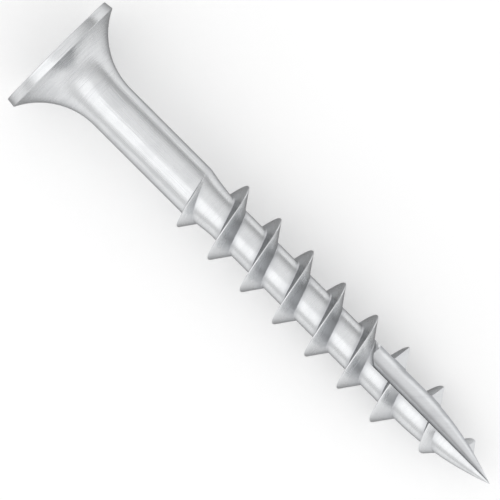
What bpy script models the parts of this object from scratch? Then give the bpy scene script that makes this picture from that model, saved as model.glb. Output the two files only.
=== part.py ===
"""Deck screw: bugle head with a square recess, smooth shank, coarse thread and a fluted point.

The screw is modelled upright on its own axis, with the face of its head at z = 0 and its point
downwards. It is then laid down as it comes to rest on a level surface: on the rim of its head and
on one crest of its thread.
"""

import math

import bmesh
import bpy
from mathutils import Matrix, Vector

# Sizes in metres. A place along the screw is measured from the face of the head towards the point.
SCREW_LENGTH = 0.0413
ROUND_SIDES = 60

# Bugle head
HEAD_DIAMETER = 0.0094
RIM_HEIGHT = 0.00068
RIM_TAPER = 0.00008
EDGE_ROUND = 0.00006
FLARE_RADIUS = 0.0052

# Smooth shank, and the neck that brings it down to the core under the thread
SHANK_DIAMETER = 0.0035
SHANK_LENGTH = 0.0135
NECK_LENGTH = 0.0024
NECK_SLANT = 0.0004
CORE_DIAMETER = 0.00285

# Point: the core closes in a long ogive
POINT_LENGTH = 0.0075
POINT_POWER = 1.93

# Thread: a thin right-hand ridge whose crest leans towards the head
THREAD_DIAMETER = 0.0054
THREAD_PITCH = 0.00307
THREAD_START = 0.01257
THREAD_END = 0.0018
CREST_FLAT = 0.00006
FLANK_TO_HEAD = 0.0002
FLANK_TO_POINT = 0.00087
RUN_OUT_TURNS = 0.5
FALL_BEFORE_POINT = 0.0008
FALL_LENGTH = 0.0039
LAST_RIDGE_HEIGHT = 0.00055
STRETCH_BEFORE_POINT = 0.0019
STRETCH = 0.00071
ROOT_OVERLAP = 0.00012

# Flute: the notch in the point that cuts the fibres
FLUTE_LENGTH = 0.01255
FLUTE_RAMP = 0.0008
FLUTE_WALL_OFFSET = 0.000034
FLUTE_FOOT_SHARE = 0.54
FLUTE_ROUND_SHARE = 0.64
FLUTE_LEAST_RADIUS = 0.00016
CUT_CLEARANCE = 0.0003

# Square recess
RECESS_WIDTH = 0.0036
RECESS_DEPTH = 0.0018
RECESS_LEAD_IN = 0.0002
RECESS_DRAFT = math.radians(2.5)
RECESS_CORNER = 0.00022
RECESS_FLOOR_DEPTH = 0.0003

STEEL_COLOUR = (0.72, 0.73, 0.74, 1.0)
STEEL_ROUGHNESS = 0.28

HEAD_RADIUS = HEAD_DIAMETER / 2
SHANK_RADIUS = SHANK_DIAMETER / 2
CORE_RADIUS = CORE_DIAMETER / 2
THREAD_RADIUS = THREAD_DIAMETER / 2
POINT_START = SCREW_LENGTH - POINT_LENGTH
SIDE_ANGLE = 2 * math.pi / ROUND_SIDES


def ease(share):
    """A share held between 0 and 1, with a level start and end."""
    share = min(max(share, 0.0), 1.0)
    return share * share * (3 - 2 * share)


def mix(first, second, share):
    return first + (second - first) * share


# Radii along the turned body


def flare_centre():
    """(radius, place) of the centre of the curve under the head: it meets the rim and the shank."""
    radius = SHANK_RADIUS + FLARE_RADIUS
    rise = radius - HEAD_RADIUS
    return radius, RIM_HEIGHT + math.sqrt(FLARE_RADIUS**2 - rise**2)


def core_radius(place):
    """Radius of the core under the thread, which closes towards the point."""
    share = min(max((place - POINT_START) / POINT_LENGTH, 0.0), 1.0)
    return CORE_RADIUS * (1 - share**POINT_POWER)


def neck_radius(share):
    return mix(CORE_RADIUS, SHANK_RADIUS, (1 - share) ** 1.5)


def body_radius(place, angle):
    """Radius of the shank, neck and core. The neck is slanted, so there the angle counts."""
    share = (place + NECK_SLANT * math.cos(angle) - SHANK_LENGTH) / NECK_LENGTH
    if share < 1:
        return neck_radius(max(share, 0.0))
    return core_radius(place)


def body_profile():
    """(radius, place) points down the outside of the screw, from the head's centre to the point."""
    face_radius = HEAD_RADIUS - RIM_TAPER
    points = [(0.0, 0.0)]
    for step in range(3):
        turn = math.radians(45 * step)
        points.append(
            (face_radius - EDGE_ROUND * (1 - math.sin(turn)), EDGE_ROUND * (1 - math.cos(turn)))
        )
    centre_radius, centre_place = flare_centre()
    steepest = math.asin((centre_place - RIM_HEIGHT) / FLARE_RADIUS)
    for step in range(13):
        turn = steepest * (1 - step / 12)
        points.append(
            (
                centre_radius - FLARE_RADIUS * math.cos(turn),
                centre_place - FLARE_RADIUS * math.sin(turn),
            )
        )
    for step in range(7):
        points.append((neck_radius(step / 6), SHANK_LENGTH + NECK_LENGTH * step / 6))
    for step in range(13):
        place = POINT_START + POINT_LENGTH * (1 - (1 - step / 12) ** 1.3)
        points.append((core_radius(place), place))
    return points


# Path and section of the thread. A turn of 0 is the first time that the crest passes over +X.


def crest_place(turn):
    """Place of the crest along the screw. Its turns spread a little where the point is drawn out."""
    place = THREAD_START + THREAD_PITCH * turn
    past = (place - (POINT_START - STRETCH_BEFORE_POINT)) / THREAD_PITCH
    return place + STRETCH * max(past, 0.0) ** 1.3


def ridge_height(place):
    """Height of the whole ridge over the core, which falls as the point closes."""
    fall = ease((place - (POINT_START - FALL_BEFORE_POINT)) / FALL_LENGTH)
    return mix(THREAD_RADIUS - CORE_RADIUS, LAST_RIDGE_HEIGHT, fall)


def last_turn():
    """The thread ends inside the flute, an eighth of a turn past +X."""
    turn = 0.125
    while crest_place(turn + 1) < SCREW_LENGTH - THREAD_END:
        turn += 1
    return turn


def ridge_section(turn):
    """Corners of the ridge where the crest has made this many turns, with its foot in the body."""
    angle = -2 * math.pi * turn
    middle = crest_place(turn)
    surface = body_radius(middle, angle)
    overlap = min(ROOT_OVERLAP, surface / 3)
    whole = core_radius(middle) + ridge_height(middle)
    crest = mix(surface - overlap / 8, whole, ease((turn - 0.1) / RUN_OUT_TURNS))
    width = (max(crest - surface, overlap / 8) / (THREAD_RADIUS - CORE_RADIUS)) ** 0.6
    to_head = middle - FLANK_TO_HEAD * width
    to_point = middle + FLANK_TO_POINT * width
    half_flat = CREST_FLAT / 2 * width
    head_foot = body_radius(to_head, angle)
    point_foot = body_radius(to_point, angle)
    outline = (
        (head_foot - overlap, to_head),
        (head_foot - overlap / 4, to_head),
        (crest, middle - half_flat),
        (crest, middle + half_flat),
        (point_foot - overlap / 4, to_point),
        (point_foot - overlap, to_point),
    )
    return [
        Vector((radius * math.cos(angle), radius * math.sin(angle), -place))
        for radius, place in outline
    ]


# Section of the flute, in the quarter of the screw between +X and -Y


def flute_start(angle):
    """The flute starts at the foot of the ridge, on the side towards the point."""
    first = SCREW_LENGTH - FLUTE_LENGTH - FLANK_TO_POINT - THREAD_START
    turn = round(first / THREAD_PITCH) + angle / (2 * math.pi)
    return crest_place(turn) + FLANK_TO_POINT + ROOT_OVERLAP / 4


def flute_section(depth, along):
    """Corners of the flute: a flat wall on the screw's axis, then a round floor out to the core's
    side. A depth of 0 is just clear of the core and 1 is the whole flute, and along is how far
    the section lies past the flute's start."""
    radius = max(core_radius(flute_start(0) + along), FLUTE_LEAST_RADIUS)
    reach = THREAD_RADIUS + CUT_CLEARANCE
    round_radius = FLUTE_ROUND_SHARE * radius
    centre = Vector((FLUTE_WALL_OFFSET + round_radius, FLUTE_FOOT_SHARE * radius))
    last = math.acos((1.03 * radius - centre.x) / round_radius)
    outline = [Vector((FLUTE_WALL_OFFSET, reach))]
    for step in range(11):
        share = step / 10
        turn = mix(math.pi, 2 * math.pi - last, share)
        floor = centre + round_radius * Vector((math.cos(turn), math.sin(turn)))
        side = (radius + ROOT_OVERLAP / 6) * Vector(
            (math.sin(share * math.pi / 2), math.cos(share * math.pi / 2))
        )
        side.x = max(side.x, FLUTE_WALL_OFFSET)
        outline.append(side.lerp(floor, depth))
    outline.append(Vector((reach, outline[-1].y)))
    outline.append(Vector((reach, reach)))
    return [
        Vector((point.x, -point.y, -flute_start(math.atan2(point.y, point.x)) - along))
        for point in outline
    ]


def flute_sections():
    sections = []
    for step in range(5):
        sections.append(flute_section(step / 4, FLUTE_RAMP * step / 4))
    past_ramp = flute_start(0) + FLUTE_RAMP
    for step in range(12):
        place = mix(POINT_START, SCREW_LENGTH, 1 - (1 - step / 12) ** 1.3)
        if place > past_ramp:
            sections.append(flute_section(1, place - flute_start(0)))
    sections.append(flute_section(1, SCREW_LENGTH + CUT_CLEARANCE - flute_start(0)))
    return sections


# Solids


def new_object(name, mesh, collection, pose):
    made = bpy.data.objects.new(name, mesh)
    collection.objects.link(made)
    made.parent = pose
    return made


def mesh_from(bm, name):
    mesh = bpy.data.meshes.new(name)
    bm.to_mesh(mesh)
    bm.free()
    return mesh


def turned(name, profile, sides, collection, pose):
    """Solid of revolution about Z, from (radius, z) points that run down its outside."""
    mesh = bpy.data.meshes.new(name)
    points = [(radius, 0.0, z) for radius, z in profile]
    mesh.from_pydata(points, [(i, i + 1) for i in range(len(points) - 1)], [])
    made = new_object(name, mesh, collection, pose)
    screw = made.modifiers.new("turn", "SCREW")
    screw.steps = screw.render_steps = sides
    screw.use_merge_vertices = True
    screw.merge_threshold = 0.000001
    keep_modifiers(made)
    return made


def lofted(name, sections, collection, pose):
    """Solid through closed sections of equal point counts, with flat ends."""
    bm = bmesh.new()
    rings = [[bm.verts.new(point) for point in section] for section in sections]
    for ring, following in zip(rings, rings[1:]):
        for i in range(len(ring)):
            bm.faces.new((ring[i - 1], ring[i], following[i], following[i - 1]))
    bm.faces.new(rings[0])
    bm.faces.new(rings[-1])
    bmesh.ops.recalc_face_normals(bm, faces=bm.faces)
    return new_object(name, mesh_from(bm, name), collection, pose)


def keep_modifiers(made):
    """Gives the object the mesh that its modifiers make."""
    graph = bpy.context.evaluated_depsgraph_get()
    mesh = bpy.data.meshes.new_from_object(made.evaluated_get(graph))
    before = made.data
    made.modifiers.clear()
    made.data = mesh
    bpy.data.meshes.remove(before)
    mesh.name = made.name


def combine(made, tool, operation):
    boolean = made.modifiers.new(tool.name, "BOOLEAN")
    boolean.operation = operation
    boolean.object = tool
    boolean.solver = "EXACT"


def make_body(collection, pose):
    """Head, shank, neck and point, with a flat of the rim facing down (+Y) and the neck slanted."""
    profile = [(radius, -place) for radius, place in body_profile()]
    body = turned("deck_screw", profile, ROUND_SIDES, collection, pose)
    body.data.transform(Matrix.Rotation(SIDE_ANGLE / 2, 4, "Z"))
    for vertex in body.data.vertices:
        place = -vertex.co.z
        if SHANK_LENGTH - NECK_SLANT < place < SHANK_LENGTH + NECK_LENGTH + NECK_SLANT:
            angle = math.atan2(vertex.co.y, vertex.co.x)
            vertex.co.z += NECK_SLANT * math.cos(angle)
    return body


def make_ridge(collection, pose):
    first = round(0.1 * ROUND_SIDES)
    last = round(last_turn() * ROUND_SIDES)
    sections = [ridge_section(step / ROUND_SIDES) for step in range(first, last + 1)]
    return lofted("thread_ridge", sections, collection, pose)


def make_recess_cutter(collection, pose):
    """A square punch: a profile turned in four steps, with its upright corners rounded."""
    half = RECESS_WIDTH / 2
    foot = half - math.tan(RECESS_DRAFT) * (RECESS_DEPTH - RECESS_LEAD_IN)
    outline = (
        (0.0, CUT_CLEARANCE),
        (half + RECESS_LEAD_IN + CUT_CLEARANCE, CUT_CLEARANCE),
        (half, -RECESS_LEAD_IN),
        (foot, -RECESS_DEPTH),
        (0.0, -RECESS_DEPTH - RECESS_FLOOR_DEPTH),
    )
    profile = [(math.sqrt(2) * width, z) for width, z in outline]
    punch = turned("recess_cutter", profile, 4, collection, pose)
    punch.data.transform(Matrix.Rotation(math.pi / 4, 4, "Z"))
    bm = bmesh.new()
    bm.from_mesh(punch.data)
    upright = [
        edge
        for edge in bm.edges
        if abs(edge.verts[0].co.z - edge.verts[1].co.z) > RECESS_LEAD_IN / 2
        and min(vertex.co.xy.length for vertex in edge.verts) > RECESS_CORNER
    ]
    bmesh.ops.bevel(
        bm, geom=upright, offset=RECESS_CORNER, segments=3, profile=0.5, affect="EDGES"
    )
    bm.to_mesh(punch.data)
    bm.free()
    return punch


def lay_down(screw, pose):
    """Turns the screw on its side, with -Y up, and leans it until a crest of the thread touches the
    surface that the rim lies on. Its box is centred over the origin, with its lowest point at 0."""
    sideways = Matrix(((0, 0, -1), (1, 0, 0), (0, -1, 0)))
    points = [sideways @ vertex.co for vertex in screw.data.vertices]
    rim = min((point for point in points if point.x < RIM_HEIGHT * 1.5), key=lambda p: p.z)
    lean = min(
        math.atan2(point.z - rim.z, point.x - rim.x) for point in points if point.x > 2 * RIM_HEIGHT
    )
    turn = Matrix.Rotation(lean, 3, "Y") @ sideways
    points = [turn @ vertex.co for vertex in screw.data.vertices]
    low = Vector([min(point[axis] for point in points) for axis in range(3)])
    high = Vector([max(point[axis] for point in points) for axis in range(3)])
    pose.rotation_euler = turn.to_euler()
    pose.location = (-(low.x + high.x) / 2, -(low.y + high.y) / 2, -low.z)
    print(f"leans {math.degrees(lean):.2f} degrees")


def bright_steel():
    material = bpy.data.materials.new("bright_steel")
    material.use_nodes = True
    shader = material.node_tree.nodes["Principled BSDF"]
    shader.inputs["Base Color"].default_value = STEEL_COLOUR
    shader.inputs["Metallic"].default_value = 1.0
    shader.inputs["Roughness"].default_value = STEEL_ROUGHNESS
    material.diffuse_color = STEEL_COLOUR
    return material


def main():
    for old in list(bpy.data.objects):
        bpy.data.objects.remove(old)
    parts = bpy.data.collections.new("Deck screw")
    cutters = bpy.data.collections.new("Cutters")
    for collection in (parts, cutters):
        bpy.context.scene.collection.children.link(collection)
    pose = bpy.data.objects.new("lying_pose", None)
    parts.objects.link(pose)

    screw = make_body(parts, pose)
    combine(screw, make_ridge(cutters, pose), "UNION")
    combine(screw, lofted("flute_cutter", flute_sections(), cutters, pose), "DIFFERENCE")
    combine(screw, make_recess_cutter(cutters, pose), "DIFFERENCE")
    keep_modifiers(screw)
    screw.data.shade_smooth()
    screw.data.set_sharp_from_angle(angle=math.radians(24))
    screw.data.materials.clear()
    screw.data.materials.append(bright_steel())
    for tool in cutters.objects:
        tool.hide_render = True
        tool.display_type = "WIRE"
    lay_down(screw, pose)


main()
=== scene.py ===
import math

import bmesh
import bpy
from mathutils import Matrix, Vector


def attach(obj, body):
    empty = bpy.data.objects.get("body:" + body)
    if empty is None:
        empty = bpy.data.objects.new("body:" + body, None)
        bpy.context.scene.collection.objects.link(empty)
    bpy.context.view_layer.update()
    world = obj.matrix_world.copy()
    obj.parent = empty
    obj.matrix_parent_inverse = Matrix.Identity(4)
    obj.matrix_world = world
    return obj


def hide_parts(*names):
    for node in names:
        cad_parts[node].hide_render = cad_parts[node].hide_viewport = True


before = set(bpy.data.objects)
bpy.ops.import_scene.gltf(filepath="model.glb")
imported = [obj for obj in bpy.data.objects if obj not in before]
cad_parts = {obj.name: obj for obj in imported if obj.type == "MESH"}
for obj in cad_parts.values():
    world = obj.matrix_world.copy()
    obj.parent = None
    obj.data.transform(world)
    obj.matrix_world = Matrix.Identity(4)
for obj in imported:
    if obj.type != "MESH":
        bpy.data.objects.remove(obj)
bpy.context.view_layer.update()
print("frame loaded:", ", ".join(sorted(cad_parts)))

scene = bpy.context.scene
scene.view_settings.view_transform = "Standard"

# The screw is one formed piece of wire. It is made upright, head up, and then laid down.
# Sizes in metres. A place is measured along the screw, from the face of its head to its point.
screw = {
    "length": 0.0413,
    "sides": 180,  # steps in a turn
    "mergeDistance": 5e-7,
    "sharpAngle": math.radians(28),  # what bends more is shaded as an edge
    # head
    "headRadius": 0.0047,
    "faceShares": (0.0, 0.25, 0.5, 0.62, 0.75, 0.87, 0.95),  # rings on the flat of the face
    "rimHeight": 0.00068,
    "rimTaper": 0.00008,
    "rimShares": (0.35, 0.6),  # rings down the rim
    "faceEdgeRound": 0.00007,
    "rimEdgeRound": 0.00006,
    "edgeSteps": 5,
    "flareRadius": 0.0052,
    "flareSteps": 30,
    # shank, and the slanted neck down to the core
    "shankRadius": 0.00175,
    "shankLength": 0.0135,
    "shankSteps": 8,
    "neckLength": 0.0024,
    "neckPower": 1.5,
    "neckSlant": 0.0004,
    "coreRadius": 0.001425,
    # point: the core closes in a long ogive
    "pointLength": 0.0075,
    "pointPower": 1.93,
    # thread
    "threadRadius": 0.0027,
    "threadPitch": 0.00307,
    "threadStart": 0.01257,
    "threadEnd": 0.0018,  # measured back from the point
    "threadEndTurn": 0.125,  # it ends this far past a whole turn, inside the flute
    "valleyColumns": 9,  # across the core, between two ridges
    # section of its ridge, which leans towards the head
    "crestFlat": 0.00006,
    "crestRound": 0.00003,
    "crestSteps": (4, 3),  # round its two edges
    "flankToHead": 0.0002,
    "flankToPoint": 0.00087,
    "flankShares": (0.25, 0.5, 0.75),  # rows on each flank
    "footRound": 0.00013,
    "footSteps": 5,
    "leastShare": 0.03,  # of the full height, below which the ridge narrows no more
    "widthPower": 0.6,  # it narrows more slowly than its height falls
    # where the ridge starts and ends, in turns
    "runOutFrom": 0.1,
    "runOutTurns": 0.5,
    "lastRiseTurns": 0.06,
    # how it gets lower, and its turns spread, as the point is drawn out
    "fallBeforePoint": 0.0008,
    "fallLength": 0.0039,
    "lastRidgeHeight": 0.00055,
    "stretchBeforePoint": 0.0019,
    "stretch": 0.00071,
    "stretchPower": 1.3,
    # flute: shares are of the core's radius
    "fluteLength": 0.01255,
    "fluteStartGap": 0.00003,
    "fluteRamp": 0.0008,
    "fluteWallOffset": 0.000034,
    "fluteFootShare": 0.54,
    "fluteRoundShare": 0.64,
    "fluteSideShare": 1.03,  # how far out its floor runs
    "fluteSideGap": 0.00002,  # between the core and the cutter, where the ramp starts
    "fluteLeastRadius": 0.00016,
    "fluteClosing": 1.2,  # the sections get closer towards the point
    "fluteSteps": {"ramp": 10, "length": 40, "floor": 24},
    # square recess
    "recessWidth": 0.0036,
    "recessDepth": 0.0018,
    "recessLeadIn": 0.0002,
    "recessDraft": math.radians(2.5),
    "recessCorner": 0.00022,
    "recessCornerSteps": 6,
    "recessFloorDepth": 0.0003,
    "cutClearance": 0.0003,
}
lying = {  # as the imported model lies, on its rim and one crest
    "headCentre": (-0.02047031, 0.0, 0.00472656),  # on the face of the head
    "lean": math.asin(0.0616614),  # the point is lower than the head
}


class Field:  # a number in a node tree, so that a rule is written as plain arithmetic
    def __init__(self, tree, socket):
        self.tree, self.socket = tree, socket

    def __add__(self, other):
        return calc("ADD", self, other)

    def __radd__(self, other):
        return calc("ADD", other, self)

    def __sub__(self, other):
        return calc("SUBTRACT", self, other)

    def __rsub__(self, other):
        return calc("SUBTRACT", other, self)

    def __mul__(self, other):
        return calc("MULTIPLY", self, other)

    def __rmul__(self, other):
        return calc("MULTIPLY", other, self)

    def __truediv__(self, other):
        return calc("DIVIDE", self, other)

    def __pow__(self, other):
        return calc("POWER", self, other)


def calc(operation, *values):
    tree = next(value.tree for value in values if isinstance(value, Field))
    node = tree.nodes.new("ShaderNodeMath")
    node.operation = operation
    for socket, value in zip(node.inputs, values):
        if isinstance(value, Field):
            tree.links.new(value.socket, socket)
        else:
            socket.default_value = value
    return Field(tree, node.outputs[0])


# The rules below take plain numbers, for the outlines and cutters, or fields, for the tree.
def notBelow(value, low):
    return calc("MAXIMUM", value, low) if isinstance(value, Field) else max(value, low)


def held(value, low, high):
    value = notBelow(value, low)
    return calc("MINIMUM", value, high) if isinstance(value, Field) else min(value, high)


def cosine(angle):
    return calc("COSINE", angle) if isinstance(angle, Field) else math.cos(angle)


def mix(first, second, share):
    return first + (second - first) * share


def ease(share):
    share = held(share, 0.0, 1.0)
    return share * share * (3.0 - 2.0 * share)


def turnAngle(turn):  # the thread is right-handed
    return turn * (-2 * math.pi)


def coreRadiusAt(place, given):  # it closes over the point
    pointStart = given["length"] - given["pointLength"]
    share = held((place - pointStart) / given["pointLength"], 0.0, 1.0)
    return given["coreRadius"] * (1.0 - share ** given["pointPower"])


def bodyRadiusAt(place, angle, given):  # shank, then the slanted neck, then the core
    slanted = place + given["neckSlant"] * cosine(angle)
    share = held((slanted - given["shankLength"]) / given["neckLength"], 0.0, 1.0)
    neck = (given["shankRadius"] - given["coreRadius"]) * (1.0 - share) ** given["neckPower"]
    return coreRadiusAt(place, given) + neck


def crestPlaceAt(turn, given):  # the turns spread where the point is drawn out
    place = given["threadStart"] + given["threadPitch"] * turn
    pointStart = given["length"] - given["pointLength"]
    past = (place - (pointStart - given["stretchBeforePoint"])) / given["threadPitch"]
    return place + given["stretch"] * notBelow(past, 0.0) ** given["stretchPower"]


def ridgeHeightAt(place, given):  # over the core
    fallStart = given["length"] - given["pointLength"] - given["fallBeforePoint"]
    fall = ease((place - fallStart) / given["fallLength"])
    return mix(given["threadRadius"] - given["coreRadius"], given["lastRidgeHeight"], fall)


def ridgeRiseAt(turn, angle, given):  # height over the body, with the run-out at both ends
    place = crestPlaceAt(turn, given)
    whole = coreRadiusAt(place, given) + ridgeHeightAt(place, given)
    rise = whole - bodyRadiusAt(place, angle, given)
    start = ease((turn - given["runOutFrom"]) / given["runOutTurns"])
    return rise * start * ease((given["lastTurn"] - turn) / given["lastRiseTurns"])


def lastThreadTurn():
    turn = screw["threadEndTurn"]
    while crestPlaceAt(turn + 1, screw) < screw["length"] - screw["threadEnd"]:
        turn += 1
    return turn


def drawnTurnCount():  # until the foot of the ridge is past the point too
    turn, step = 0.0, 0.05
    past = screw["length"] + 1.5 * screw["flankToHead"]
    while crestPlaceAt(turn, screw) < past:
        turn += step
    return turn


screw["lastTurn"] = lastThreadTurn()
screw["drawnTurns"] = drawnTurnCount()


# Outlines and cutters
def newObject(name, data):
    made = bpy.data.objects.new(name, data)
    scene.collection.objects.link(made)
    return made


def polyline(name, points):
    mesh = bpy.data.meshes.new(name)
    mesh.from_pydata(points, [(i, i + 1) for i in range(len(points) - 1)], [])
    return newObject(name, mesh)


def rounded(before, corner, after, radius, steps):  # an arc in place of a corner
    corner = Vector(corner)
    back, ahead = (Vector(before) - corner).normalized(), (Vector(after) - corner).normalized()
    half = back.angle(ahead) / 2
    centre = corner + (back + ahead).normalized() * radius / math.sin(half)
    start = (corner + back * radius / math.tan(half) - centre).normalized()
    end = (corner + ahead * radius / math.tan(half) - centre).normalized()
    return [centre + radius * start.slerp(end, step / steps) for step in range(steps + 1)]


def flarePoint(share):  # (radius, place) on the curve from the rim to the shank
    centreRadius = screw["shankRadius"] + screw["flareRadius"]
    depth = math.sqrt(screw["flareRadius"] ** 2 - (centreRadius - screw["headRadius"]) ** 2)
    turn = math.asin(depth / screw["flareRadius"]) * (1 - share)
    return Vector((
        centreRadius - screw["flareRadius"] * math.cos(turn),
        screw["rimHeight"] + depth - screw["flareRadius"] * math.sin(turn),
    ))


def bodyOutline():  # (radius, place) down the head and shank
    face = Vector((screw["headRadius"] - screw["rimTaper"], 0.0))
    rim = Vector((screw["headRadius"], screw["rimHeight"]))
    below = flarePoint(0.02)  # for the direction in which the flare leaves the rim
    edgeSteps, flareSteps, shankSteps = screw["edgeSteps"], screw["flareSteps"], screw["shankSteps"]
    points = [face * share for share in screw["faceShares"]]
    points += rounded((0.0, 0.0), face, rim, screw["faceEdgeRound"], edgeSteps)
    points += [face.lerp(rim, share) for share in screw["rimShares"]]
    points += rounded(face, rim, below, screw["rimEdgeRound"], edgeSteps)
    points += [flarePoint(step / flareSteps) for step in range(1, flareSteps + 1)]
    # down to the foot of the ridge, where that is still narrowest
    leastWidth = screw["leastShare"] ** screw["widthPower"]
    end = crestPlaceAt(0, screw) + ridgeOutline()[0][0] * leastWidth
    start = points[-1].y
    for step in range(1, shankSteps + 1):
        points.append(Vector((screw["shankRadius"], mix(start, end, step / shankSteps))))
    return [(point.x, point.y, 0.0) for point in points]


def ridgeOutline():  # (place from the crest, share of the height) across the ridge
    height = screw["threadRadius"] - screw["coreRadius"]
    flat, pitch = screw["crestFlat"] / 2, screw["threadPitch"]
    headSteps, pointSteps = screw["crestSteps"]
    corners = [Vector(corner) for corner in (
        (-pitch, 0.0), (-screw["flankToHead"], 0.0), (-flat, height),
        (flat, height), (screw["flankToPoint"], 0.0), (pitch, 0.0),
    )]

    def arc(index, size, steps):
        return rounded(*corners[index - 1:index + 2], screw[size], steps)

    points = arc(1, "footRound", screw["footSteps"])
    crest = arc(2, "crestRound", headSteps) + arc(3, "crestRound", pointSteps)
    foot = arc(4, "footRound", screw["footSteps"])
    points += [points[-1].lerp(crest[0], share) for share in screw["flankShares"]] + crest
    points += [points[-1].lerp(foot[0], share) for share in screw["flankShares"]] + foot
    return [(point.x, point.y / height, 0.0) for point in points]


def fluteStart(angle):  # at the foot of a ridge, on the side towards the point
    first = screw["length"] - screw["fluteLength"] - screw["flankToPoint"] - screw["threadStart"]
    turn = round(first / screw["threadPitch"]) + angle / (2 * math.pi)
    return crestPlaceAt(turn, screw) + screw["flankToPoint"] + screw["fluteStartGap"]


def fluteSection(depth, along):  # a flat wall on the axis, then a round floor out to the side
    radius = max(coreRadiusAt(fluteStart(0) + along, screw), screw["fluteLeastRadius"])
    reach = screw["threadRadius"] + screw["cutClearance"]
    wall = screw["fluteWallOffset"]
    roundRadius = screw["fluteRoundShare"] * radius
    centre = Vector((wall + roundRadius, screw["fluteFootShare"] * radius))
    last = math.acos((screw["fluteSideShare"] * radius - centre.x) / roundRadius)
    outline = [Vector((wall, reach))]
    steps = screw["fluteSteps"]["floor"]
    for step in range(steps + 1):
        turn = mix(math.pi, 2 * math.pi - last, step / steps)
        floor = centre + roundRadius * Vector((math.cos(turn), math.sin(turn)))
        quarter = math.pi / 2 * step / steps
        side = (radius + screw["fluteSideGap"]) * Vector((math.sin(quarter), math.cos(quarter)))
        side.x = max(side.x, wall)
        outline.append(side.lerp(floor, depth))
    outline += [Vector((reach, outline[-1].y)), Vector((reach, reach))]
    return [
        Vector((point.x, -point.y, -fluteStart(math.atan2(point.y, point.x)) - along))
        for point in outline
    ]


def bridge(bm, rings):  # faces from each ring of points to the next
    for ring, following in zip(rings, rings[1:]):
        for i in range(len(ring)):
            bm.faces.new((ring[i - 1], ring[i], following[i], following[i - 1]))


def closedObject(bm, name):
    bmesh.ops.recalc_face_normals(bm, faces=bm.faces)
    mesh = bpy.data.meshes.new(name)
    bm.to_mesh(mesh)
    bm.free()
    return newObject(name, mesh)


def fluteCutter():
    ramp, steps = screw["fluteRamp"], screw["fluteSteps"]
    depths = [step / steps["ramp"] for step in range(steps["ramp"] + 1)]
    sections = [fluteSection(depth, ramp * depth) for depth in depths]
    length = screw["length"] - fluteStart(0)
    for step in range(1, steps["length"] + 1):
        share = 1 - (1 - step / steps["length"]) ** screw["fluteClosing"]
        sections.append(fluteSection(1, mix(ramp, length, share)))
    sections.append(fluteSection(1, length + screw["cutClearance"]))
    bm = bmesh.new()
    rings = [[bm.verts.new(point) for point in section] for section in sections]
    bridge(bm, rings)
    bm.faces.new(rings[0])
    bm.faces.new(rings[-1])
    return closedObject(bm, "fluteCutter")


def recessCutter():  # a square punch with a lead-in, drafted walls and a shallow point
    half, over = screw["recessWidth"] / 2, screw["cutClearance"]
    leadIn, depth = screw["recessLeadIn"], screw["recessDepth"]
    foot = half - math.tan(screw["recessDraft"]) * (depth - leadIn)
    bm = bmesh.new()
    rings = [
        [bm.verts.new((x * width, y * width, z)) for x, y in ((-1, -1), (1, -1), (1, 1), (-1, 1))]
        for width, z in ((half + leadIn + over, over), (half, -leadIn), (foot, -depth))
    ]
    bridge(bm, rings)
    bm.faces.new(rings[0])
    tip = bm.verts.new((0.0, 0.0, -depth - screw["recessFloorDepth"]))
    for i in range(4):
        bm.faces.new((rings[-1][i - 1], rings[-1][i], tip))
    upright = [
        edge for edge in bm.edges
        if abs(edge.verts[0].co.z - edge.verts[1].co.z) > leadIn / 2 and tip not in edge.verts
    ]
    bmesh.ops.bevel(
        bm, geom=upright, offset=screw["recessCorner"], segments=screw["recessCornerSteps"],
        profile=0.5, affect="EDGES",
    )
    return closedObject(bm, "recessCutter")


bodyPoints, ridgePoints = bodyOutline(), ridgeOutline()
outlines = {
    "Body Outline": polyline("bodyOutline", bodyPoints),
    "Ridge Outline": polyline("ridgeOutline", ridgePoints),
}
cutters = {"Flute Cutter": fluteCutter(), "Recess Cutter": recessCutter()}
print("outlines:", len(bodyPoints), "points down the head and", len(ridgePoints), "across the ridge")


# Node trees
class NodeMaker:  # adds nodes to a tree, and feeds them fields, sockets or plain values
    def __init__(self, tree):
        self.tree, self.nodes = tree, tree.nodes

    def node(self, kind, fed=(), **settings):  # fed says what feeds each input
        made = self.nodes.new(kind)
        for name, value in settings.items():
            setattr(made, name, value)
        for socket, value in dict(fed).items():
            self.feed(made.inputs[socket], value)
        return made

    def feed(self, socket, value):
        if isinstance(value, Field):
            value = value.socket
        if isinstance(value, bpy.types.NodeSocket):
            self.tree.links.new(value, socket)
        else:
            socket.default_value = value

    def field(self, socket):
        return Field(self.tree, socket)

    def vector(self, x, y, z):
        return self.node("ShaderNodeCombineXYZ", {"X": x, "Y": y, "Z": z}).outputs[0]

    def parts(self, vector):
        outputs = self.node("ShaderNodeSeparateXYZ", {0: vector}).outputs
        return [self.field(output) for output in outputs]

    def ramp(self, value, low, high, toLow=0.0, toHigh=1.0):
        made = self.node("ShaderNodeMapRange", {
            "Value": value, "From Min": low, "From Max": high, "To Min": toLow, "To Max": toHigh,
        }, interpolation_type="SMOOTHSTEP")
        return self.field(made.outputs["Result"])

    def noise(self, vector, scale, detail, roughness):
        made = self.node("ShaderNodeTexNoise", {
            "Vector": vector, "Scale": scale, "Detail": detail, "Roughness": roughness,
        })
        return self.field(made.outputs[0])

    def mixed(self, share, first, second):  # of two colours
        made = self.node("ShaderNodeMix", data_type="RGBA")
        for socket, value in ((0, share), (6, first), (7, second)):
            self.feed(made.inputs[socket], value)
        return made.outputs[2]


# How closely the marks that the material reads keep to the crest (wear) and to the root (painted
# shade)
marks = {"crestPower": 4.0, "rootPower": 6.0, "flankPower": 3.0, "risePower": 0.5}
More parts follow.
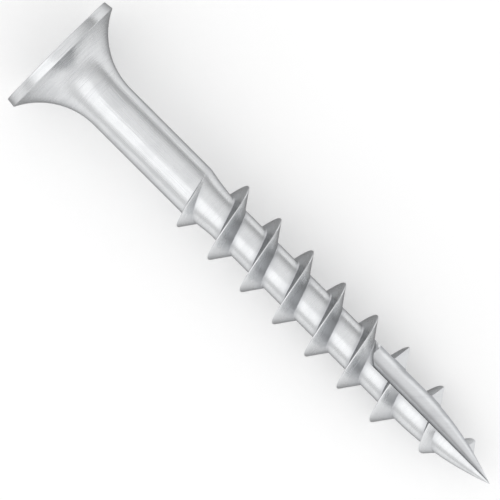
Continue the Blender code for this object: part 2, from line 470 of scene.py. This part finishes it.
# The sizes that the tree takes as inputs
treeSizes = [
    "length", "shankRadius", "shankLength", "neckLength", "neckPower", "neckSlant", "coreRadius",
    "pointLength", "pointPower", "threadRadius", "threadPitch", "threadStart", "leastShare",
    "widthPower", "runOutFrom", "runOutTurns", "lastRiseTurns", "lastTurn", "drawnTurns",
    "fallBeforePoint", "fallLength", "lastRidgeHeight", "stretchBeforePoint", "stretch",
    "stretchPower", "mergeDistance", "sharpAngle",
]


def spaced(name):  # threadPitch becomes Thread Pitch
    return "".join(" " + letter if letter.isupper() else letter for letter in name).title()


def treeInputs(material):
    inputs = {spaced(name): ("NodeSocketFloat", screw[name]) for name in treeSizes}
    for name in ("sides", "valleyColumns"):
        inputs[spaced(name)] = ("NodeSocketInt", screw[name])
    for name, tool in {**outlines, **cutters}.items():
        inputs[name] = ("NodeSocketObject", tool)
    inputs["Material"] = ("NodeSocketMaterial", material)
    return inputs


class ScrewTree(NodeMaker):
    def __init__(self, inputs):
        super().__init__(bpy.data.node_groups.new("formedScrew", "GeometryNodeTree"))
        self.tree.is_modifier = True
        sockets = self.tree.interface
        sockets.new_socket("Geometry", in_out="OUTPUT", socket_type="NodeSocketGeometry")
        sockets.new_socket("Geometry", in_out="INPUT", socket_type="NodeSocketGeometry")
        for name, (kind, value) in inputs.items():
            sockets.new_socket(name, in_out="INPUT", socket_type=kind).default_value = value
        self.given = self.node("NodeGroupInput").outputs
        self.sizes = {name: self.field(self.given[spaced(name)]) for name in treeSizes}
        self.sides = self.field(self.given["Sides"])
        self.index = self.field(self.node("GeometryNodeInputIndex").outputs[0])
        self.position = self.node("GeometryNodeInputPosition").outputs[0]
        self.tools = {
            name: self.node("GeometryNodeObjectInfo", {"Object": self.given[name]}).outputs["Geometry"]
            for name in (*outlines, *cutters)
        }
        # across one pitch: the ridge, then the core up to the next turn's ridge
        self.ridgeEnd = self.pointCount("Ridge Outline") - 1.0
        self.valley = self.field(self.given["Valley Columns"]) + 1.0
        self.columns = self.ridgeEnd + self.valley + 1.0
        self.firstOffset = self.outlineAt("Ridge Outline", 0.0)[0]
        self.finish([self.head(), self.wedge(), self.strip()])

    def pointCount(self, outline):
        counted = self.node("GeometryNodeAttributeDomainSize", {"Geometry": self.tools[outline]})
        return self.field(counted.outputs["Point Count"])

    def outlineAt(self, outline, column):
        whole = self.node("FunctionNodeFloatToInt", {0: column}, rounding_mode="ROUND")
        sampled = self.node("GeometryNodeSampleIndex", {
            "Geometry": self.tools[outline], "Index": whole.outputs[0],
        }, data_type="FLOAT_VECTOR", domain="POINT", clamp=True)
        self.feed(sampled.inputs["Value"], self.position)
        return self.parts(sampled.outputs["Value"])[:2]

    def grid(self, rows, columns):  # rows go round the screw, and columns down it
        made = self.node("GeometryNodeMeshGrid", {"Vertices X": rows, "Vertices Y": columns})
        column = calc("MODULO", self.index, columns)
        return made.outputs["Mesh"], (self.index - column) / columns, column

    def placed(self, mesh, angle, radius, place):
        point = self.vector(
            radius * calc("COSINE", angle), radius * calc("SINE", angle), 0.0 - place
        )
        moved = self.node("GeometryNodeSetPosition", {"Geometry": mesh, "Position": point})
        return moved.outputs[0]

    def marked(self, mesh, name, value, domain="POINT"):  # for the material to read: wear at the crest, painted shade at the root, and the cut faces
        return self.node(
            "GeometryNodeStoreNamedAttribute", {"Geometry": mesh, "Name": name, "Value": value},
            domain=domain,
        ).outputs[0]

    def riseShare(self, turn):  # of the ridge's full height
        rise = ridgeRiseAt(turn, turnAngle(turn), self.sizes)
        return rise / (self.sizes["threadRadius"] - self.sizes["coreRadius"])

    def widthAt(self, turn):
        return held(self.riseShare(turn), self.sizes["leastShare"], 1.0) ** self.sizes["widthPower"]

    def spiralPlace(self, turn):  # where a turn's ridge starts
        return crestPlaceAt(turn, self.sizes) + self.widthAt(turn) * self.firstOffset

    def acrossPitch(self, turn, column):
        offset, height = self.outlineAt("Ridge Outline", column)
        onRidge = crestPlaceAt(turn, self.sizes) + self.widthAt(turn) * offset
        share = held((column - self.ridgeEnd) / self.valley, 0.0, 1.0)
        return mix(onRidge, self.spiralPlace(turn + 1.0), share), height, share

    def head(self):  # head and shank: the outline turned round the axis
        mesh, row, column = self.grid(self.sides + 1.0, self.pointCount("Body Outline"))
        radius, place = self.outlineAt("Body Outline", column)
        return self.placed(mesh, turnAngle(row / self.sides), radius, place)

    def wedge(self):  # between the last ring of the shank and the first turn
        mesh, row, column = self.grid(self.sides + 1.0, self.columns)
        turn = row / self.sides
        zero = turn * 0.0
        firstRing = self.spiralPlace(zero)
        grown = (self.spiralPlace(turn) - firstRing) / (self.spiralPlace(zero + 1.0) - firstRing)
        place = mix(firstRing, self.acrossPitch(zero, column)[0], grown)
        angle = turnAngle(turn)
        return self.placed(mesh, angle, bodyRadiusAt(place, angle, self.sizes), place)

    def strip(self):  # the threaded end, which winds down to the point
        mesh, row, column = self.grid(self.sides * self.sizes["drawnTurns"] + 1.0, self.columns)
        turn = row / self.sides
        angle = turnAngle(turn)
        place, height, share = self.acrossPitch(turn, column)
        place = calc("MINIMUM", place, self.sizes["length"])
        rise = ridgeRiseAt(turn, angle, self.sizes)
        radius = bodyRadiusAt(place, angle, self.sizes) + height * rise
        grown = held(self.riseShare(turn), 0.0, 1.0) ** marks["risePower"]
        # crest: wear, lighter along the crest; root: painted shade, darkest at the ridge's feet in the
        # valley and fading up the flanks, where the ridges shade the core
        crest = height ** marks["crestPower"] * grown
        atFoot = calc("ABSOLUTE", share * 2.0 - 1.0) ** marks["rootPower"]
        root = atFoot * (1.0 - height) ** marks["flankPower"] * grown
        mesh = self.marked(self.marked(mesh, "crest", crest), "root", root)
        return self.placed(mesh, angle, radius, place)

    def finish(self, pieces):  # joins and cuts them, and shades what bends sharply as an edge
        joined = self.node("GeometryNodeJoinGeometry")
        for piece in pieces:
            self.feed(joined.inputs[0], piece)
        merged = self.node("GeometryNodeMergeByDistance", {
            "Geometry": joined.outputs[0], "Distance": self.sizes["mergeDistance"],
        })
        cut = self.node(
            "GeometryNodeMeshBoolean", {"Mesh 1": merged.outputs[0]},
            operation="DIFFERENCE", solver="MANIFOLD",
        )
        for name, mark in (("Flute Cutter", "milled"), ("Recess Cutter", "punched")):
            self.feed(cut.inputs["Mesh 2"], self.marked(self.tools[name], mark, 1.0, "FACE"))
        smooth = self.node("GeometryNodeSetShadeSmooth", {"Geometry": cut.outputs["Mesh"]})
        bend = self.field(self.node("GeometryNodeInputMeshEdgeAngle").outputs["Unsigned Angle"])
        sharp = self.node("GeometryNodeSetShadeSmooth", {
            "Geometry": smooth.outputs[0],
            "Selection": calc("GREATER_THAN", bend, self.sizes["sharpAngle"]),
            "Shade Smooth": False,
        }, domain="EDGE")
        real = self.node("GeometryNodeRealizeInstances", {"Geometry": sharp.outputs[0]})
        dressed = self.node("GeometryNodeSetMaterial", {
            "Geometry": real.outputs[0], "Material": self.given["Material"],
        })
        self.node("NodeGroupOutput", {"Geometry": dressed.outputs[0]})


def evaluated(made, name):  # the plain mesh that the modifiers make, and none of them left
    graph = bpy.context.evaluated_depsgraph_get()
    mesh = bpy.data.meshes.new_from_object(made.evaluated_get(graph))
    before = made.data
    made.modifiers.clear()
    made.data = mesh
    bpy.data.meshes.remove(before)
    mesh.name = name
    return mesh


def makeScrew(material):
    made = newObject("screwBody", bpy.data.meshes.new("start"))
    inputs = treeInputs(material)
    modifier = made.modifiers.new("formedScrew", "NODES")
    modifier.node_group = ScrewTree(inputs).tree
    for item in modifier.node_group.interface.items_tree:
        if item.name in inputs:
            modifier[item.identifier] = inputs[item.name][1]
    mesh = evaluated(made, "screwBody")
    # on its side, with -Y up, and its head towards -X
    sideways = Matrix(((0, 0, -1, 0), (1, 0, 0, 0), (0, -1, 0, 0), (0, 0, 0, 1)))
    lean = Matrix.Rotation(lying["lean"], 4, "Y")
    mesh.transform(Matrix.Translation(lying["headCentre"]) @ lean @ sideways)
    for tool in (*outlines.values(), *cutters.values()):
        bpy.data.objects.remove(tool)
    return made


steel = {
    "colour": (0.75, 0.76, 0.77, 1.0),
    # dull finish, and painted shade in the thread's roots
    "dullAndShadeColour": (0.5, 0.51, 0.53, 1.0),
    "wornColour": (0.8, 0.81, 0.82, 1.0),
    "wornShare": 0.8,  # of it, along the crest
    "edgeTint": (0.3, 0.3, 0.3, 1.0),  # at a grazing angle
    "roughness": 0.27,
    "leastRoughness": 0.15,
    "mostRoughness": 0.6,
    "bumpDepth": 1.2e-5,
    "grainBump": 0.12,  # beside 1 for the lines
    # scales in counts a metre, for lines across them and then along them
    "patchScale": {"cloud": 900.0, "grain": 9000.0},
    "ringScale": (5500.0, 300.0),  # round the head and thread, from the dies
    "drawnScale": (9.0, 120.0),  # along the shank, and across it a count round the axis
    "scoredScale": (7000.0, 250.0),  # down the walls of the recess
    "noise": {  # detail and roughness
        "cloud": (3.0, 0.5), "grain": (2.0, 0.6),
        "rings": (3.0, 0.65), "drawn": (3.0, 0.6), "scored": (3.0, 0.6),
    },
    "evenLevel": 0.5,  # of a noise, where it changes nothing
    "scoredShare": 0.4,  # how strong the lines are in the recess
    "threadedShare": 0.45,  # and from the neck on
    "drawnFrom": 0.0048,
    "drawnFade": 0.001,
    "drawnTo": 0.0132,
    "neckFade": 0.0004,
    "axisRadius": 0.00005,  # the least distance from the axis that is divided by
    # how much of the dull colour each of these brings, and how much roughness; for root it is painted
    # shade, darker in the thread's roots, and for the others a dull finish
    "dullingAndShade": {
        "root": 0.5, "milled": 0.2, "punched": 0.25, "cloud": 0.18, "grain": 0.06, "lines": 0.22,
    },
    "roughening": {
        "root": 0.1, "milled": 0.05, "punched": 0.04, "crest": -0.06, "cloud": 0.1, "lines": 0.2,
    },
    # the levels between which a noise comes to dull
    "dullBetween": {"cloud": (0.4, 0.7), "grain": (0.5, 0.75), "lines": (0.45, 0.7)},
}


def screwPlace(maker):  # X along the screw from the face of its head, Y and Z from its axis
    return maker.node("ShaderNodeMapping", {
        "Vector": maker.node("ShaderNodeTexCoord").outputs["Object"],
        "Location": lying["headCentre"],
        "Rotation": (0.0, lying["lean"], 0.0),
    }, vector_type="TEXTURE").outputs[0]


def fineLines(maker, own, punched):  # the level of whichever lines run there
    along, y, z = maker.parts(own)
    radius = calc("SQRT", y * y + z * z)
    down = along - radius  # grows down the outline: over the face, the rim and the flare
    away = notBelow(radius, steel["axisRadius"])
    across, run = steel["ringScale"]
    places = {"rings": maker.vector(down * across, y * run, z * run)}
    across, run = steel["drawnScale"]
    places["drawn"] = maker.vector(along * run, y / away * across, z / away * across)
    across, run = steel["scoredScale"]
    places["scored"] = maker.vector(along * run, y * across, z * across)
    rings, drawn, scored = (
        maker.noise(place, 1.0, *steel["noise"][name]) for name, place in places.items()
    )

    neck, even = steel["drawnTo"], steel["evenLevel"]
    onShank = maker.ramp(along, steel["drawnFrom"] - steel["drawnFade"], steel["drawnFrom"])
    beforeNeck = maker.ramp(along, neck, neck + steel["neckFade"], 1.0, 0.0)
    lines = mix(rings, drawn, onShank * beforeNeck)
    lines = mix(even, lines, mix(steel["threadedShare"], 1.0, beforeNeck))
    return mix(lines, mix(even, scored, steel["scoredShare"]), punched)


def steelMaterial():
    material = bpy.data.materials.new("brightSteel")
    material.use_nodes = True
    maker = NodeMaker(material.node_tree)
    own = screwPlace(maker)
    levels = {
        name: maker.field(maker.node("ShaderNodeAttribute", attribute_name=name).outputs["Fac"])
        for name in ("root", "crest", "milled", "punched")
    }
    for name, scale in steel["patchScale"].items():
        levels[name] = maker.noise(own, scale, *steel["noise"][name])
    levels["lines"] = fineLines(maker, own, levels["punched"])

    # dull finish marks, together with painted shade in the thread's roots from the root mark
    dullAndShade = 0.0
    for name, share in steel["dullingAndShade"].items():
        level = levels[name]
        if name in steel["dullBetween"]:
            level = maker.ramp(level, *steel["dullBetween"][name])
        dullAndShade = dullAndShade + level * share
    rough = steel["roughness"]
    for name, change in steel["roughening"].items():
        level = levels[name]
        if name in steel["dullBetween"]:
            level = level - steel["evenLevel"]  # a noise goes both ways
        rough = rough + level * change

    shader = maker.nodes["Principled BSDF"]
    colour = maker.mixed(held(dullAndShade, 0.0, 1.0), steel["colour"], steel["dullAndShadeColour"])
    colour = maker.mixed(levels["crest"] * steel["wornShare"], colour, steel["wornColour"])
    maker.feed(shader.inputs["Base Color"], colour)
    rough = held(rough, steel["leastRoughness"], steel["mostRoughness"])
    maker.feed(shader.inputs["Roughness"], rough)
    shader.inputs["Metallic"].default_value = 1.0
    shader.inputs["Specular Tint"].default_value = steel["edgeTint"]
    bump = maker.node("ShaderNodeBump", {
        "Height": levels["lines"] + levels["grain"] * steel["grainBump"],
        "Strength": 1.0,
        "Distance": steel["bumpDepth"],
    })
    maker.feed(shader.inputs["Normal"], bump.outputs[0])
    return material


screwBody = makeScrew(steelMaterial())
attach(screwBody, "root")
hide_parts("deck_screw")
print("screw made:", sum(len(face.vertices) - 2 for face in screwBody.data.polygons), "triangles")


# Floor, light and camera
studio = {
    "floorSize": 4.0,
    "floorColour": (0.86, 0.86, 0.86, 1.0),
    "floorGlow": 0.17,  # makes the lit floor white, and leaves the shadow on it
    "worldColour": (1.0, 1.0, 1.0, 1.0),
    "zenith": 0.95,  # strengths of the world, overhead
    "ends": 0.85,  # and at its horizon: past the screw's two ends,
    "nearSide": 0.72,  # towards -Y
    "farSide": 0.38,  # and towards +Y
    "reach": 0.9,  # of a direction's Y or Z, at which those three are reached
    "lamp": {"place": (0.1, -0.3, 0.42), "size": (1.6, 0.5), "radiance": 0.37},
    "pixels": 500,
    "millimetresPerPixel": 0.06734,
    "aim": (0.01873, -0.000264),  # along and across the screw, from the face of its head
    "lens": 1100.0,  # long, so that the head's face is straight as in a drawing
    "sensor": 36.0,
    "clip": (0.01, 20.0),
}


def floorMaterial():
    material = bpy.data.materials.new("paleFloor")
    material.use_nodes = True
    maker = NodeMaker(material.node_tree)
    maker.nodes.remove(maker.nodes["Principled BSDF"])
    rays = maker.node("ShaderNodeLightPath").outputs
    seen = calc("MAXIMUM", maker.field(rays["Is Camera Ray"]), maker.field(rays["Is Glossy Ray"]))
    seen = calc("MAXIMUM", seen, maker.field(rays["Is Transmission Ray"]))
    matt = maker.node("ShaderNodeBsdfDiffuse", {"Color": studio["floorColour"]})
    glow = maker.node("ShaderNodeEmission", {"Strength": seen * studio["floorGlow"]})
    both = maker.node("ShaderNodeAddShader", {0: matt.outputs[0], 1: glow.outputs[0]})
    maker.feed(maker.nodes["Material Output"].inputs["Surface"], both.outputs[0])
    return material


def makeFloor():
    mesh = bpy.data.meshes.new("floor")
    half = studio["floorSize"] / 2
    low = min(vertex.co.z for vertex in screwBody.data.vertices)
    corners = [(-half, -half, low), (half, -half, low), (half, half, low), (-half, half, low)]
    mesh.from_pydata(corners, [], [(0, 1, 2, 3)])
    mesh.materials.append(floorMaterial())
    newObject("floor", mesh)


def makeWorld():  # a pale room, bright overhead and greyer towards the far wall
    world = bpy.data.worlds.new("studio")
    world.use_nodes = True
    maker = NodeMaker(world.node_tree)
    _, y, z = maker.parts(maker.node("ShaderNodeTexCoord").outputs["Generated"])
    reach = studio["reach"]
    horizon = maker.ramp(y, -reach, 0.0, studio["nearSide"], studio["ends"])
    horizon = maker.ramp(y, 0.0, reach, horizon, studio["farSide"])
    background = maker.nodes["Background"].inputs
    maker.feed(background["Strength"], maker.ramp(z, 0.0, reach, horizon, studio["zenith"]))
    maker.feed(background["Color"], studio["worldColour"])
    scene.world = world


def makeLamp(name):
    given = studio[name]
    lamp = bpy.data.lights.new(name, "AREA")
    lamp.shape = "RECTANGLE"
    lamp.size, lamp.size_y = given["size"]
    lamp.energy = given["radiance"] * math.pi * lamp.size * lamp.size_y
    place = Vector(given["place"])
    turn = (-place).to_track_quat("-Z", "Y").to_matrix().to_4x4()
    newObject(name, lamp).matrix_world = Matrix.Translation(place) @ turn


def makeCamera():  # from above, square to the screw, with its point at the lower right
    lean = lying["lean"]
    along, across = Vector((math.cos(lean), 0.0, -math.sin(lean))), Vector((0.0, 1.0, 0.0))
    right, up = (along + across).normalized(), (across - along).normalized()
    back = right.cross(up)
    camera = bpy.data.cameras.new("camera")
    camera.lens, camera.sensor_width = studio["lens"], studio["sensor"]
    camera.clip_start, camera.clip_end = studio["clip"]
    width = studio["pixels"] * studio["millimetresPerPixel"] / 1000
    distance = width * camera.lens / camera.sensor_width
    place = Vector(lying["headCentre"]) + back * distance
    place += along * studio["aim"][0] + across * studio["aim"][1]
    scene.camera = newObject("camera", camera)
    turn = Matrix((right, up, back)).transposed().to_4x4()
    scene.camera.matrix_world = Matrix.Translation(place) @ turn


makeFloor()
makeWorld()
makeLamp("lamp")
makeCamera()
print("floor, light and camera set")
